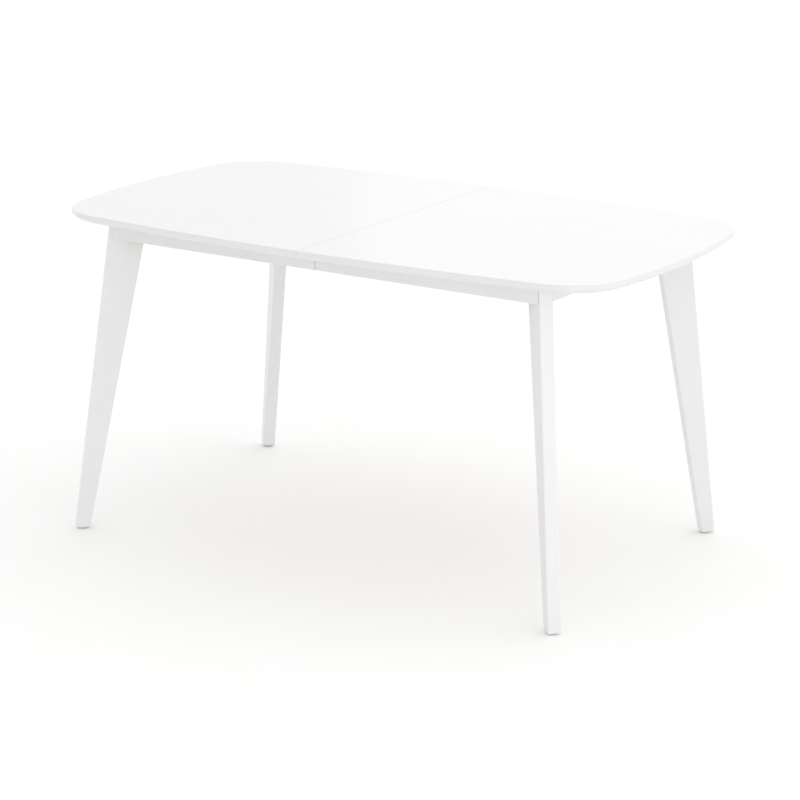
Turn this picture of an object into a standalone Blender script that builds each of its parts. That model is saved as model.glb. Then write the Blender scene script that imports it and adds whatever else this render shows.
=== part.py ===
"""Extendable dining table: two half tops on four splayed plank legs, drawn apart on geared runners.

The frame is in metres, with +Z up. The origin is on the floor under the middle of the closed table,
+X runs along the table towards the right half and +Y towards its back.
"""

import math

import bmesh
import bpy
from mathutils import Vector

# Driving dimensions.
TABLE_LENGTH = 1.44
TABLE_WIDTH = 0.85
TABLE_HEIGHT = 0.75
TOP_THICKNESS = 0.018
LEAF_WIDTH = 0.45
FIT_GAP = 0.0003
OVERCUT = 0.001
SHARP_ANGLE = math.radians(30)

# Outline of the top: three tangent arcs to each quarter.
SIDE_ARC_RADIUS = 5.4
END_ARC_RADIUS = 1.75
CORNER_ARC_RADIUS = 0.14
SIDE_ARC_STEPS = 8
CORNER_ARC_STEPS = 10
END_ARC_STEPS = 6
EDGE_ROUND = 0.0015
EDGE_FACET_SHARE = 0.3
EDGE_FLAT_BOTTOM = 0.0105
UNDERCUT = 0.009
SEAM_GAP = 0.0008

# Aprons.
APRON_BOTTOM = 0.694
APRON_THICKNESS = 0.018
SIDE_APRON_FACE = 0.355
END_APRON_FACE = 0.560
SIDE_APRON_END = 0.5465
END_APRON_HALF = 0.335

# Legs, as planks standing in the diagonal planes of the corners.
LEG_TOP_X = 0.528
LEG_TOP_Y = 0.316
LEG_FOOT_X = 0.621
LEG_FOOT_Y = 0.389
LEG_TOP_WIDTH = 0.084
LEG_FOOT_WIDTH = 0.032
LEG_THICKNESS = 0.030
LEG_EDGE_ROUND = 0.003
FOOT_EDGE_ROUND = 0.004
GLIDE_RADIUS = 0.011
GLIDE_HEIGHT = 0.003
ENVELOPE_BOTTOM = 0.6
ENVELOPE_TOP = 0.8

# Corner blocks and the bolts that hold the legs.
BLOCK_THICKNESS = 0.020
BLOCK_TO_LEG = 0.004
BLOCK_RAISE = 0.002
BOLT_RADIUS = 0.004
BOLT_INTO_LEG = 0.030
BOLT_HEAD_RADIUS = 0.0075
BOLT_HEAD_LENGTH = 0.0065
HOLE_CLEARANCE = 0.0003

# Runners: the left half's pair outside, the centre pair in the middle, the right half's inside.
MIDDLE_RUNNER_Y = 0.262
MIDDLE_RUNNER_WIDTH = 0.020
MIDDLE_RUNNER_HALF_LENGTH = 0.235
MIDDLE_RUNNER_BOTTOM = 0.7017
MIDDLE_RUNNER_TOP = 0.7287
HALF_RUNNER_WIDTH = 0.018
HALF_RUNNER_BOTTOM = 0.7037
HALF_RUNNER_END = 0.43
RUNNER_SPACING = 0.0163
TONGUE_BOTTOM = 0.7092
TONGUE_TOP = 0.7152
TONGUE_REACH = 0.0045
GROOVE_DEPTH = 0.005
GROOVE_CLEARANCE = 0.0005

# Rack and pinion pairs that keep both halves moving together.
GEAR_MODULE = 0.0015
PINION_TEETH = 16
GEAR_ADDENDUM = 0.0013
GEAR_DEDENDUM = 0.0016
PRESSURE_ANGLE = math.radians(20)
BACKLASH = 0.0004
PINION_BOTTOM = 0.7177
PINION_TOP = 0.7243
RACK_BOTTOM = 0.7175
RACK_TOP = 0.7245
RACK_LEAD = 0.020
RACK_BACK = 0.016
AXLE_RADIUS = 0.0025
WINDOW_HALF_LENGTH = 0.0145
WINDOW_BOTTOM = 0.7165
WINDOW_TOP = 0.7255
WINDOW_CUT = 0.02

# The folded leaf and its cradle.
LEAF_CLEARANCE = 0.0035
LEAF_FOLD_GAP = 0.004
CRADLE_BAR_X = 0.15
CRADLE_BAR_WIDTH = 0.030
CRADLE_BAR_DEPTH = 0.020
CRADLE_BAR_CHAMFER = 0.012
LEAF_HINGE_X = 0.13
LEAF_HINGE_LENGTH = 0.050
LEAF_HINGE_RADIUS = 0.0036
LEAF_HINGE_PLATE = 0.052
LEAF_HINGE_HALF_THICKNESS = 0.0017

# Locks across the seam, and the dowels that line the halves up.
LOCK_PIVOT_X = 0.015
LOCK_PIVOT_Y = 0.3285
LOCK_REACH = 0.025
LOCK_PLATE_THICKNESS = 0.002
LOCK_PLATE_HALF_WIDTH = 0.0075
LOCK_PLATE_FROM_SEAM = 0.002
LOCK_BASE_END = 0.030
LOCK_STRIKE_PAST_POST = 0.009
LOCK_ARM_THICKNESS = 0.003
LOCK_ARM_HALF_WIDTH = 0.006
LOCK_ARM_DROP = 0.0005
LOCK_TIP_MARGIN = 0.0015
LOCK_TIP_CHAMFER = 0.002
LOCK_ARC_STEPS = 8
LOCK_POST_RADIUS = 0.002
LOCK_SLOT_HALF_WIDTH = 0.003
LOCK_PIN_RADIUS = 0.0025
LOCK_TAB_DEPTH = 0.012
LOCK_TAB_START = 0.010
LOCK_TAB_END = 0.019
LOCK_TAB_FAR_FACE = 0.0045
LOCK_TAB_NEAR_FACE = 0.0020
DOWEL_YS = (-0.30, 0.0, 0.30)
DOWEL_RADIUS = 0.004
DOWEL_OUT = 0.012
DOWEL_IN = 0.018
DOWEL_HOLE_EXTRA = 0.0006

TOP_UNDERSIDE = TABLE_HEIGHT - TOP_THICKNESS
UNDER_TOP = TOP_UNDERSIDE - FIT_GAP
LEAF_HALF_LENGTH = (TABLE_WIDTH / 2 - SEAM_GAP) / 2
LEAF_TOP = TOP_UNDERSIDE - LEAF_CLEARANCE
LEAF_FOLD_Z = LEAF_TOP - TOP_THICKNESS - LEAF_FOLD_GAP / 2
LEAF_BOTTOM = LEAF_TOP - 2 * TOP_THICKNESS - LEAF_FOLD_GAP
PITCH_RADIUS = GEAR_MODULE * PINION_TEETH / 2
TOOTH_PITCH = math.pi * GEAR_MODULE
LEG_BOTTOM = GLIDE_HEIGHT + FIT_GAP
SIDES = {"left": -1, "right": 1}
DEPTHS = {"front": -1, "back": 1}

LACQUER_TOP = ((0.90, 0.90, 0.89), 0.30, 0.0)
LACQUER_FRAME = ((0.86, 0.86, 0.85), 0.35, 0.0)
BEECH = ((0.63, 0.43, 0.24), 0.55, 0.0)
ZINC = ((0.62, 0.63, 0.65), 0.35, 1.0)
NYLON = ((0.80, 0.79, 0.74), 0.50, 0.0)


def remove_start_objects():
    """Clear the scene that the script starts in."""
    for start_object in list(bpy.data.objects):
        bpy.data.objects.remove(start_object)


def make_material(name, finish):
    """Return a Principled material with a colour, a roughness and a metallic value."""
    colour, roughness, metallic = finish
    material = bpy.data.materials.new(name)
    material.use_nodes = True
    shader = material.node_tree.nodes["Principled BSDF"]
    shader.inputs["Base Color"].default_value = (*colour, 1.0)
    shader.inputs["Roughness"].default_value = roughness
    shader.inputs["Metallic"].default_value = metallic
    return material


def add_object(name, mesh_builder, finish, origin=(0, 0, 0)):
    """Turn a bmesh in world coordinates into a named object whose origin is at a chosen point."""
    bmesh.ops.recalc_face_normals(mesh_builder, faces=mesh_builder.faces)
    if mesh_builder.calc_volume(signed=True) < 0:
        bmesh.ops.reverse_faces(mesh_builder, faces=mesh_builder.faces)
    bmesh.ops.translate(mesh_builder, vec=-Vector(origin), verts=mesh_builder.verts)
    mesh = bpy.data.meshes.new(name)
    mesh_builder.to_mesh(mesh)
    mesh_builder.free()
    mesh.materials.append(make_material(name + "_finish", finish))
    mesh.shade_smooth()
    mesh.set_sharp_from_angle(angle=SHARP_ANGLE)
    added = bpy.data.objects.new(name, mesh)
    added.location = origin
    bpy.context.collection.objects.link(added)
    return added


def hide_operand(operand):
    """Show a Boolean operand as wire and leave it out of renders."""
    operand.hide_render = True
    operand.display_type = "WIRE"


def combine(target, operand, operation="DIFFERENCE"):
    """Cut an operand from a target, or join it on, with a Boolean modifier."""
    modifier = target.modifiers.new(operand.name, "BOOLEAN")
    modifier.operation = operation
    modifier.object = operand
    hide_operand(operand)


def loft(rings):
    """Return a closed bmesh through rings of points that all have the same count."""
    builder = bmesh.new()
    loops = [[builder.verts.new(point) for point in ring] for ring in rings]
    count = len(rings[0])
    for lower, upper in zip(loops, loops[1:]):
        for index in range(count):
            following = (index + 1) % count
            builder.faces.new((lower[index], lower[following], upper[following], upper[index]))
    builder.faces.new(list(reversed(loops[0])))
    builder.faces.new(loops[-1])
    return builder


def box(low, high):
    """Return a box between two corners given in any order."""
    xs, ys, zs = (sorted(pair) for pair in zip(low, high))
    outline = [(xs[0], ys[0]), (xs[1], ys[0]), (xs[1], ys[1]), (xs[0], ys[1])]
    return loft([[(x, y, z) for x, y in outline] for z in zs])


def extrude_along_x(profile, x_start, x_end):
    """Extrude a (y, z) profile along X."""
    return loft([[(x, y, z) for y, z in profile] for x in (x_start, x_end)])


def extrude_along_z(outline, z_start, z_end):
    """Extrude an (x, y) outline along Z."""
    return loft([[(x, y, z) for x, y in outline] for z in (z_start, z_end)])


def rod(start, end, radius, sides=16):
    """Return a cylinder from one point to another."""
    start, end = Vector(start), Vector(end)
    turn = (end - start).to_track_quat("Z", "Y").to_matrix()
    ring = [Vector((math.cos(a), math.sin(a), 0)) * radius
            for a in (2 * math.pi * step / sides for step in range(sides))]
    return loft([[turn @ point + centre for point in ring] for centre in (start, end)])


def arc(centre, radius, start, end, steps):
    """Return points on an arc, both ends included."""
    angles = [start + (end - start) * step / steps for step in range(steps + 1)]
    return [(centre[0] + radius * math.cos(a), centre[1] + radius * math.sin(a)) for a in angles]


def quarter_outline(inset):
    """Return the outline from the seam at the back round to the middle of the right end."""
    side_radius = SIDE_ARC_RADIUS - inset
    end_radius = END_ARC_RADIUS - inset
    corner_radius = CORNER_ARC_RADIUS - inset
    side_centre = Vector((0.0, TABLE_WIDTH / 2 - SIDE_ARC_RADIUS))
    end_centre = Vector((TABLE_LENGTH / 2 - END_ARC_RADIUS, 0.0))
    # The corner arc touches both, so its centre is a fixed distance from each of their centres.
    to_side = SIDE_ARC_RADIUS - CORNER_ARC_RADIUS
    to_end = END_ARC_RADIUS - CORNER_ARC_RADIUS
    between = end_centre - side_centre
    along = (to_side ** 2 - to_end ** 2 + between.length_squared) / (2 * between.length)
    across = math.sqrt(to_side ** 2 - along ** 2)
    unit = between.normalized()
    corner_centre = side_centre + unit * along + Vector((unit.y, -unit.x)) * across
    side_touch = corner_centre - side_centre
    end_touch = corner_centre - end_centre
    side_angle = math.atan2(side_touch.y, side_touch.x)
    end_angle = math.atan2(end_touch.y, end_touch.x)
    start_angle = math.acos(SEAM_GAP / 2 / side_radius)
    points = arc(side_centre, side_radius, start_angle, side_angle, SIDE_ARC_STEPS)
    points += arc(corner_centre, corner_radius, side_angle, end_angle, CORNER_ARC_STEPS)[1:]
    points += arc(end_centre, end_radius, end_angle, 0.0, END_ARC_STEPS)[1:]
    return points


def half_outline(side, inset):
    """Return the outline of one half top, from the back of the seam round to its front."""
    back = quarter_outline(inset)
    front = [(x, -y) for x, y in reversed(back[:-1])]
    return [(side * x, y) for x, y in back + front]


def build_tabletop(side_name):
    """Build one half of the top, with rounded upper arris and undercut lower edge."""
    side = SIDES[side_name]
    levels = (
        (TOP_UNDERSIDE, UNDERCUT),
        (TOP_UNDERSIDE + TOP_THICKNESS - EDGE_FLAT_BOTTOM - EDGE_ROUND, 0.0),
        (TABLE_HEIGHT - EDGE_ROUND, 0.0),
        (TABLE_HEIGHT - EDGE_ROUND * EDGE_FACET_SHARE, EDGE_ROUND * EDGE_FACET_SHARE),
        (TABLE_HEIGHT, EDGE_ROUND),
    )
    rings = [[(x, y, z) for x, y in half_outline(side, inset)] for z, inset in levels]
    tabletop = add_object("tabletop_" + side_name, loft(rings), LACQUER_TOP)
    # The left half keeps its dowels tight, the right half has room for them to enter.
    hole_radius = DOWEL_RADIUS + (HOLE_CLEARANCE if side < 0 else DOWEL_HOLE_EXTRA)
    hole_depth = DOWEL_IN + FIT_GAP if side < 0 else DOWEL_OUT + 2 * DOWEL_HOLE_EXTRA
    for y in DOWEL_YS:
        hole = rod((-side * OVERCUT, y, dowel_height()), (side * hole_depth, y, dowel_height()), hole_radius)
        combine(tabletop, add_object("dowel_hole", hole, BEECH))


def dowel_height():
    """Return the height of the dowels' axes."""
    return TOP_UNDERSIDE + TOP_THICKNESS / 2


def build_dowels():
    """Build the dowels in the seam edge of the left half."""
    for number, y in enumerate(DOWEL_YS, start=1):
        pin = rod((-DOWEL_IN, y, dowel_height()), (DOWEL_OUT, y, dowel_height()), DOWEL_RADIUS)
        add_object(f"dowel_{number}", pin, BEECH)


def leg_section(side, depth, z, margin):
    """Return the four corners of a leg's level section, with the outer edge first."""
    share = (z - LEG_BOTTOM) / (UNDER_TOP - LEG_BOTTOM)
    centre = Vector((
        side * (LEG_FOOT_X + (LEG_TOP_X - LEG_FOOT_X) * share),
        depth * (LEG_FOOT_Y + (LEG_TOP_Y - LEG_FOOT_Y) * share),
    ))
    half_width = (LEG_FOOT_WIDTH + (LEG_TOP_WIDTH - LEG_FOOT_WIDTH) * share) / 2 + margin
    half_thickness = LEG_THICKNESS / 2 + margin
    outward = Vector((side, depth)).normalized()
    across = Vector((-outward.y, outward.x))
    corners = ((1, -1), (1, 1), (-1, 1), (-1, -1))
    return [(*(centre + outward * half_width * a + across * half_thickness * b), z) for a, b in corners]


def leg_envelope(side, depth, name):
    """Build a slightly larger leg, which cuts the aprons to it."""
    rings = [leg_section(side, depth, z, FIT_GAP) for z in (ENVELOPE_BOTTOM, ENVELOPE_TOP)]
    return add_object(name, loft(rings), LACQUER_FRAME)


def bolt_line(side, depth, distance):
    """Return a point on a leg bolt's axis, at a distance inwards from the leg's inner edge."""
    height = (APRON_BOTTOM + UNDER_TOP) / 2
    inner = [Vector(corner) for corner in leg_section(side, depth, height, 0.0)[2:]]
    middle = (inner[0] + inner[1]) / 2
    return middle - Vector((side, depth, 0)).normalized() * distance


def build_leg(side_name, depth_name):
    """Build one splayed plank leg with rounded edges and its bolt hole."""
    side, depth = SIDES[side_name], DEPTHS[depth_name]
    rings = [leg_section(side, depth, z, 0.0) for z in (LEG_BOTTOM, UNDER_TOP)]
    builder = loft(rings)
    tall = [edge for edge in builder.edges if abs(edge.verts[0].co.z - edge.verts[1].co.z) > FOOT_EDGE_ROUND]
    bmesh.ops.bevel(builder, geom=tall, offset=LEG_EDGE_ROUND, segments=3, profile=0.5, affect="EDGES")
    low = [edge for edge in builder.edges if max(vertex.co.z for vertex in edge.verts) < LEG_BOTTOM + OVERCUT]
    bmesh.ops.bevel(builder, geom=low, offset=FOOT_EDGE_ROUND, segments=2, profile=0.5, affect="EDGES")
    leg = add_object(f"leg_{side_name}_{depth_name}", builder, LACQUER_FRAME)
    hole = rod(bolt_line(side, depth, BLOCK_TO_LEG), bolt_line(side, depth, -BOLT_INTO_LEG - FIT_GAP),
               BOLT_RADIUS + HOLE_CLEARANCE)
    combine(leg, add_object("leg_bolt_hole", hole, ZINC))


def build_glide(side_name, depth_name):
    """Build the nylon glide under one foot."""
    centre = Vector((SIDES[side_name] * LEG_FOOT_X, DEPTHS[depth_name] * LEG_FOOT_Y, 0))
    glide = rod(centre, centre + Vector((0, 0, GLIDE_HEIGHT)), GLIDE_RADIUS, sides=24)
    add_object(f"glide_{side_name}_{depth_name}", glide, NYLON)


def build_corner_block(side_name, depth_name):
    """Build the block across one corner of the frame, and the bolt through it into the leg."""
    side, depth = SIDES[side_name], DEPTHS[depth_name]
    face_x = END_APRON_FACE - APRON_THICKNESS - FIT_GAP
    face_y = SIDE_APRON_FACE - APRON_THICKNESS - FIT_GAP
    near = bolt_line(side, depth, BLOCK_TO_LEG)
    far = bolt_line(side, depth, BLOCK_TO_LEG + BLOCK_THICKNESS)
    near_sum = abs(near.x) + abs(near.y)
    far_sum = abs(far.x) + abs(far.y)
    outline = [(near_sum - face_y, face_y), (face_x, near_sum - face_x),
               (face_x, far_sum - face_x), (far_sum - face_y, face_y)]
    outline = [(side * x, depth * y) for x, y in outline]
    name = f"{side_name}_{depth_name}"
    block = add_object("corner_block_" + name,
                       extrude_along_z(outline, APRON_BOTTOM + BLOCK_RAISE, UNDER_TOP), BEECH)
    hole = rod(bolt_line(side, depth, BLOCK_TO_LEG - OVERCUT),
               bolt_line(side, depth, BLOCK_TO_LEG + BLOCK_THICKNESS + OVERCUT), BOLT_RADIUS + HOLE_CLEARANCE)
    combine(block, add_object("block_bolt_hole", hole, ZINC))
    head_start = BLOCK_TO_LEG + BLOCK_THICKNESS + FIT_GAP
    shank = rod(bolt_line(side, depth, head_start + BOLT_HEAD_LENGTH / 2),
                bolt_line(side, depth, -BOLT_INTO_LEG), BOLT_RADIUS)
    head = rod(bolt_line(side, depth, head_start), bolt_line(side, depth, head_start + BOLT_HEAD_LENGTH),
               BOLT_HEAD_RADIUS, sides=6)
    bolt = add_object("leg_bolt_" + name, head, ZINC)
    combine(bolt, add_object("leg_bolt_shank", shank, ZINC), "UNION")


def build_aprons(side_name):
    """Build the two side aprons and the end apron of one half, cut to its legs."""
    side = SIDES[side_name]
    envelopes = {depth_name: leg_envelope(side, depth, "leg_space") for depth_name, depth in DEPTHS.items()}
    for depth_name, depth in DEPTHS.items():
        inner = depth * (SIDE_APRON_FACE - APRON_THICKNESS)
        rail = box((side * SEAM_GAP / 2, inner, APRON_BOTTOM),
                   (side * SIDE_APRON_END, depth * SIDE_APRON_FACE, UNDER_TOP))
        apron = add_object(f"side_apron_{side_name}_{depth_name}", rail, LACQUER_FRAME)
        combine(apron, envelopes[depth_name])
    rail = box((side * (END_APRON_FACE - APRON_THICKNESS), -END_APRON_HALF, APRON_BOTTOM),
               (side * END_APRON_FACE, END_APRON_HALF, UNDER_TOP))
    apron = add_object("end_apron_" + side_name, rail, LACQUER_FRAME)
    for envelope in envelopes.values():
        combine(apron, envelope)


def build_half_runner(side_name, depth_name):
    """Build one half's runner, grooved for the middle runner's tongue."""
    side, depth = SIDES[side_name], DEPTHS[depth_name]
    # The left half's runners lie outside the middle ones and the right half's inside.
    away = -side
    face = MIDDLE_RUNNER_Y + away * RUNNER_SPACING
    back = face + away * HALF_RUNNER_WIDTH
    groove = face + away * GROOVE_DEPTH
    low = TONGUE_BOTTOM - GROOVE_CLEARANCE
    high = TONGUE_TOP + GROOVE_CLEARANCE
    profile = [(face, HALF_RUNNER_BOTTOM), (face, low), (groove, low), (groove, high), (face, high),
               (face, UNDER_TOP), (back, UNDER_TOP), (back, HALF_RUNNER_BOTTOM)]
    profile = [(depth * y, z) for y, z in profile]
    runner = extrude_along_x(profile, side * HALF_RUNNER_END, -side * MIDDLE_RUNNER_HALF_LENGTH)
    add_object(f"runner_{side_name}_{depth_name}", runner, BEECH)


def build_middle_runner(depth_name):
    """Build a middle runner with tongues on both faces, a pinion window and an axle hole."""
    depth = DEPTHS[depth_name]
    half = MIDDLE_RUNNER_WIDTH / 2
    reach = RUNNER_SPACING + TONGUE_REACH
    right = [(half, MIDDLE_RUNNER_BOTTOM), (half, TONGUE_BOTTOM), (reach, TONGUE_BOTTOM),
             (reach, TONGUE_TOP), (half, TONGUE_TOP), (half, MIDDLE_RUNNER_TOP)]
    profile = right + [(-y, z) for y, z in reversed(right)]
    profile = [(depth * (MIDDLE_RUNNER_Y + y), z) for y, z in profile]
    bar = extrude_along_x(profile, -MIDDLE_RUNNER_HALF_LENGTH, MIDDLE_RUNNER_HALF_LENGTH)
    runner = add_object("middle_runner_" + depth_name, bar, BEECH)
    y = depth * MIDDLE_RUNNER_Y
    window = box((-WINDOW_HALF_LENGTH, y - WINDOW_CUT, WINDOW_BOTTOM),
                 (WINDOW_HALF_LENGTH, y + WINDOW_CUT, WINDOW_TOP))
    combine(runner, add_object("pinion_window", window, BEECH))
    hole = rod((0, y, MIDDLE_RUNNER_BOTTOM - OVERCUT), (0, y, MIDDLE_RUNNER_TOP + OVERCUT),
               AXLE_RADIUS + HOLE_CLEARANCE)
    combine(runner, add_object("axle_hole", hole, ZINC))
    axle = rod((0, y, MIDDLE_RUNNER_BOTTOM + OVERCUT), (0, y, MIDDLE_RUNNER_TOP), AXLE_RADIUS)
    add_object("pinion_axle_" + depth_name, axle, ZINC)


def involute_angle(radius, base_radius):
    """Return the polar angle of an involute at a radius."""
    if radius <= base_radius:
        return 0.0
    unwound = math.sqrt((radius / base_radius) ** 2 - 1)
    return unwound - math.atan(unwound)


def build_pinion(depth_name):
    """Build a spur pinion with involute flanks, its origin on its vertical axis."""
    base = PITCH_RADIUS * math.cos(PRESSURE_ANGLE)
    root = PITCH_RADIUS - GEAR_DEDENDUM
    tip = PITCH_RADIUS + GEAR_ADDENDUM
    half_tooth = (TOOTH_PITCH / 2 - BACKLASH) / 2 / PITCH_RADIUS
    at_pitch = involute_angle(PITCH_RADIUS, base)
    flank_radii = [root, max(base, root), PITCH_RADIUS - GEAR_ADDENDUM / 2, PITCH_RADIUS,
                   PITCH_RADIUS + GEAR_ADDENDUM / 2, tip]
    flank = [(radius, half_tooth + at_pitch - involute_angle(radius, base))
             for radius in sorted(set(flank_radii))]
    outline = []
    for tooth in range(PINION_TEETH):
        # A tooth space faces each rack at rest, where both racks have a tooth.
        middle = math.pi / 2 + 2 * math.pi * (tooth + 0.5) / PINION_TEETH
        side_points = [(radius, middle - angle) for radius, angle in flank]
        side_points += [(radius, middle + angle) for radius, angle in reversed(flank)]
        outline += [(radius * math.cos(angle), radius * math.sin(angle)) for radius, angle in side_points]
    centre = (0, DEPTHS[depth_name] * MIDDLE_RUNNER_Y, 0)
    outline = [(x, y + centre[1]) for x, y in outline]
    pinion = add_object("pinion_" + depth_name, extrude_along_z(outline, PINION_BOTTOM, PINION_TOP), NYLON,
                        origin=centre)
    bore = rod((0, centre[1], PINION_BOTTOM - OVERCUT), (0, centre[1], PINION_TOP + OVERCUT),
               AXLE_RADIUS + HOLE_CLEARANCE)
    combine(pinion, add_object("pinion_bore", bore, NYLON))


def build_rack(side_name, depth_name):
    """Build a rack strip whose teeth end in a plain stop at both ends."""
    side, depth = SIDES[side_name], DEPTHS[depth_name]
    away = -side
    tip = PITCH_RADIUS - GEAR_ADDENDUM
    root = PITCH_RADIUS + GEAR_DEDENDUM
    slope = math.tan(PRESSURE_ANGLE)
    half_at_pitch = (TOOTH_PITCH / 2 - BACKLASH) / 2
    half_at_tip = half_at_pitch - GEAR_ADDENDUM * slope
    half_at_root = half_at_pitch + GEAR_DEDENDUM * slope
    tooth_count = int((MIDDLE_RUNNER_HALF_LENGTH + RACK_LEAD - TOOTH_PITCH) / TOOTH_PITCH)
    first_tooth = -int(RACK_LEAD / TOOTH_PITCH - 0.5)
    start = -RACK_LEAD
    end = MIDDLE_RUNNER_HALF_LENGTH
    # Distances run from the pinion's place towards the far end of the rack.
    outline = [(start, RACK_BACK), (start, root)]
    for tooth in range(first_tooth, first_tooth + tooth_count):
        middle = tooth * TOOTH_PITCH
        outline += [(middle - half_at_root, root), (middle - half_at_tip, tip),
                    (middle + half_at_tip, tip), (middle + half_at_root, root)]
    outline += [(end, root), (end, RACK_BACK)]
    points = [(-side * along, depth * (MIDDLE_RUNNER_Y + away * across)) for along, across in outline]
    add_object(f"rack_{side_name}_{depth_name}", extrude_along_z(points, RACK_BOTTOM, RACK_TOP), NYLON)


def build_cradle_bar(side_name):
    """Build one bar of the cradle, which carries the folded leaf below the middle runners."""
    end = MIDDLE_RUNNER_Y + MIDDLE_RUNNER_WIDTH / 2
    riser = MIDDLE_RUNNER_Y - MIDDLE_RUNNER_WIDTH / 2
    seat = LEAF_BOTTOM - FIT_GAP
    bottom = seat - CRADLE_BAR_DEPTH
    joint = MIDDLE_RUNNER_BOTTOM - FIT_GAP
    right = [(end - 2 * CRADLE_BAR_CHAMFER, bottom), (end, bottom + CRADLE_BAR_CHAMFER), (end, joint),
             (riser, joint), (riser, seat)]
    profile = right + [(-y, z) for y, z in reversed(right)]
    centre = SIDES[side_name] * CRADLE_BAR_X
    bar = extrude_along_x(profile, centre - CRADLE_BAR_WIDTH / 2, centre + CRADLE_BAR_WIDTH / 2)
    add_object("cradle_bar_" + side_name, bar, BEECH)


def build_leaf_board(name, top, direction):
    """Build one board of the folded leaf, whose undercut outer edge faces the fold."""
    underside = top - direction * TOP_THICKNESS
    flat_bottom = top - direction * (EDGE_FLAT_BOTTOM + EDGE_ROUND)
    end = -LEAF_HALF_LENGTH
    profile = [(LEAF_HALF_LENGTH, underside), (LEAF_HALF_LENGTH, top), (end + EDGE_ROUND, top),
               (end, top - direction * EDGE_ROUND), (end, flat_bottom), (end + UNDERCUT, underside)]
    half = LEAF_WIDTH / 2 - SEAM_GAP / 2
    add_object(name, extrude_along_x(profile, -half, half), LACQUER_TOP)


def build_leaf_hinge(side_name):
    """Build a closed butt hinge between the two leaf boards."""
    centre = LEAF_HALF_LENGTH + LEAF_HINGE_RADIUS + 2 * FIT_GAP
    start = math.pi + math.asin(LEAF_HINGE_HALF_THICKNESS / LEAF_HINGE_RADIUS)
    end = 3 * math.pi - math.asin(LEAF_HINGE_HALF_THICKNESS / LEAF_HINGE_RADIUS)
    knuckle = arc((centre, LEAF_FOLD_Z), LEAF_HINGE_RADIUS, start, end, 14)
    plate_end = LEAF_HALF_LENGTH - LEAF_HINGE_PLATE
    profile = [(plate_end, LEAF_FOLD_Z + LEAF_HINGE_HALF_THICKNESS),
               (plate_end, LEAF_FOLD_Z - LEAF_HINGE_HALF_THICKNESS)] + knuckle
    middle = SIDES[side_name] * LEAF_HINGE_X
    hinge = extrude_along_x(profile, middle - LEAF_HINGE_LENGTH / 2, middle + LEAF_HINGE_LENGTH / 2)
    add_object("leaf_hinge_" + side_name, hinge, ZINC)


def build_lock(depth_name):
    """Build one lock: a base and lever on the left half, a strike with its post on the right."""
    depth = DEPTHS[depth_name]
    pivot = Vector((-LOCK_PIVOT_X, depth * LOCK_PIVOT_Y, 0))
    plate_bottom = UNDER_TOP - LOCK_PLATE_THICKNESS
    arm_top = plate_bottom - LOCK_ARM_DROP
    arm_bottom = arm_top - LOCK_ARM_THICKNESS
    plate_near = depth * (LOCK_PIVOT_Y - LOCK_PLATE_HALF_WIDTH)
    plate_far = depth * (LOCK_PIVOT_Y + LOCK_PLATE_HALF_WIDTH)

    plate = box((-LOCK_BASE_END, plate_near, plate_bottom), (-LOCK_PLATE_FROM_SEAM, plate_far, UNDER_TOP))
    base = add_object("lock_base_" + depth_name, plate, ZINC)
    hole = rod(pivot + Vector((0, 0, plate_bottom - OVERCUT)), pivot + Vector((0, 0, UNDER_TOP + OVERCUT)),
               LOCK_PIN_RADIUS + HOLE_CLEARANCE)
    combine(base, add_object("lock_pin_hole", hole, ZINC))

    # The lever is parked pointing to the middle of the table.
    tip = LOCK_REACH + LOCK_SLOT_HALF_WIDTH + LOCK_TIP_MARGIN
    half = LOCK_ARM_HALF_WIDTH
    chamfer = LOCK_TIP_CHAMFER
    outline = arc((0, 0), half, math.pi, 2 * math.pi, LOCK_ARC_STEPS)
    outline += [(half, tip - chamfer), (half - chamfer, tip), (-half + chamfer, tip), (-half, tip - chamfer)]
    outline = [(pivot.x + x, pivot.y - depth * y) for x, y in outline]
    lever = add_object("lock_lever_" + depth_name, extrude_along_z(outline, arm_bottom, arm_top), ZINC,
                       origin=pivot)
    slot_y = pivot.y - depth * LOCK_REACH
    slot = box((pivot.x - LOCK_SLOT_HALF_WIDTH, slot_y - LOCK_SLOT_HALF_WIDTH, arm_bottom - OVERCUT),
               (pivot.x + half + OVERCUT, slot_y + LOCK_SLOT_HALF_WIDTH, arm_top + OVERCUT))
    combine(lever, add_object("lock_slot", slot, ZINC))
    pin = rod(pivot + Vector((0, 0, arm_bottom + OVERCUT)), pivot + Vector((0, 0, UNDER_TOP)),
              LOCK_PIN_RADIUS)
    combine(lever, add_object("lock_pin", pin, ZINC), "UNION")
    tab = box((pivot.x - LOCK_TAB_FAR_FACE, pivot.y - depth * LOCK_TAB_START, arm_bottom - LOCK_TAB_DEPTH),
              (pivot.x - LOCK_TAB_NEAR_FACE, pivot.y - depth * LOCK_TAB_END, arm_bottom + OVERCUT))
    combine(lever, add_object("lock_tab", tab, ZINC), "UNION")

    post_x = LOCK_REACH - LOCK_PIVOT_X
    plate = box((LOCK_PLATE_FROM_SEAM, plate_near, plate_bottom),
                (post_x + LOCK_STRIKE_PAST_POST, plate_far, UNDER_TOP))
    strike = add_object("lock_strike_" + depth_name, plate, ZINC)
    post = rod((post_x, pivot.y, arm_bottom - OVERCUT), (post_x, pivot.y, UNDER_TOP - OVERCUT),
               LOCK_POST_RADIUS)
    combine(strike, add_object("lock_post", post, ZINC), "UNION")


def build_half(side_name):
    """Build everything that moves with one half of the table."""
    build_tabletop(side_name)
    build_aprons(side_name)
    for depth_name in DEPTHS:
        build_leg(side_name, depth_name)
        build_glide(side_name, depth_name)
        build_corner_block(side_name, depth_name)
        build_half_runner(side_name, depth_name)
        build_rack(side_name, depth_name)


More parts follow.
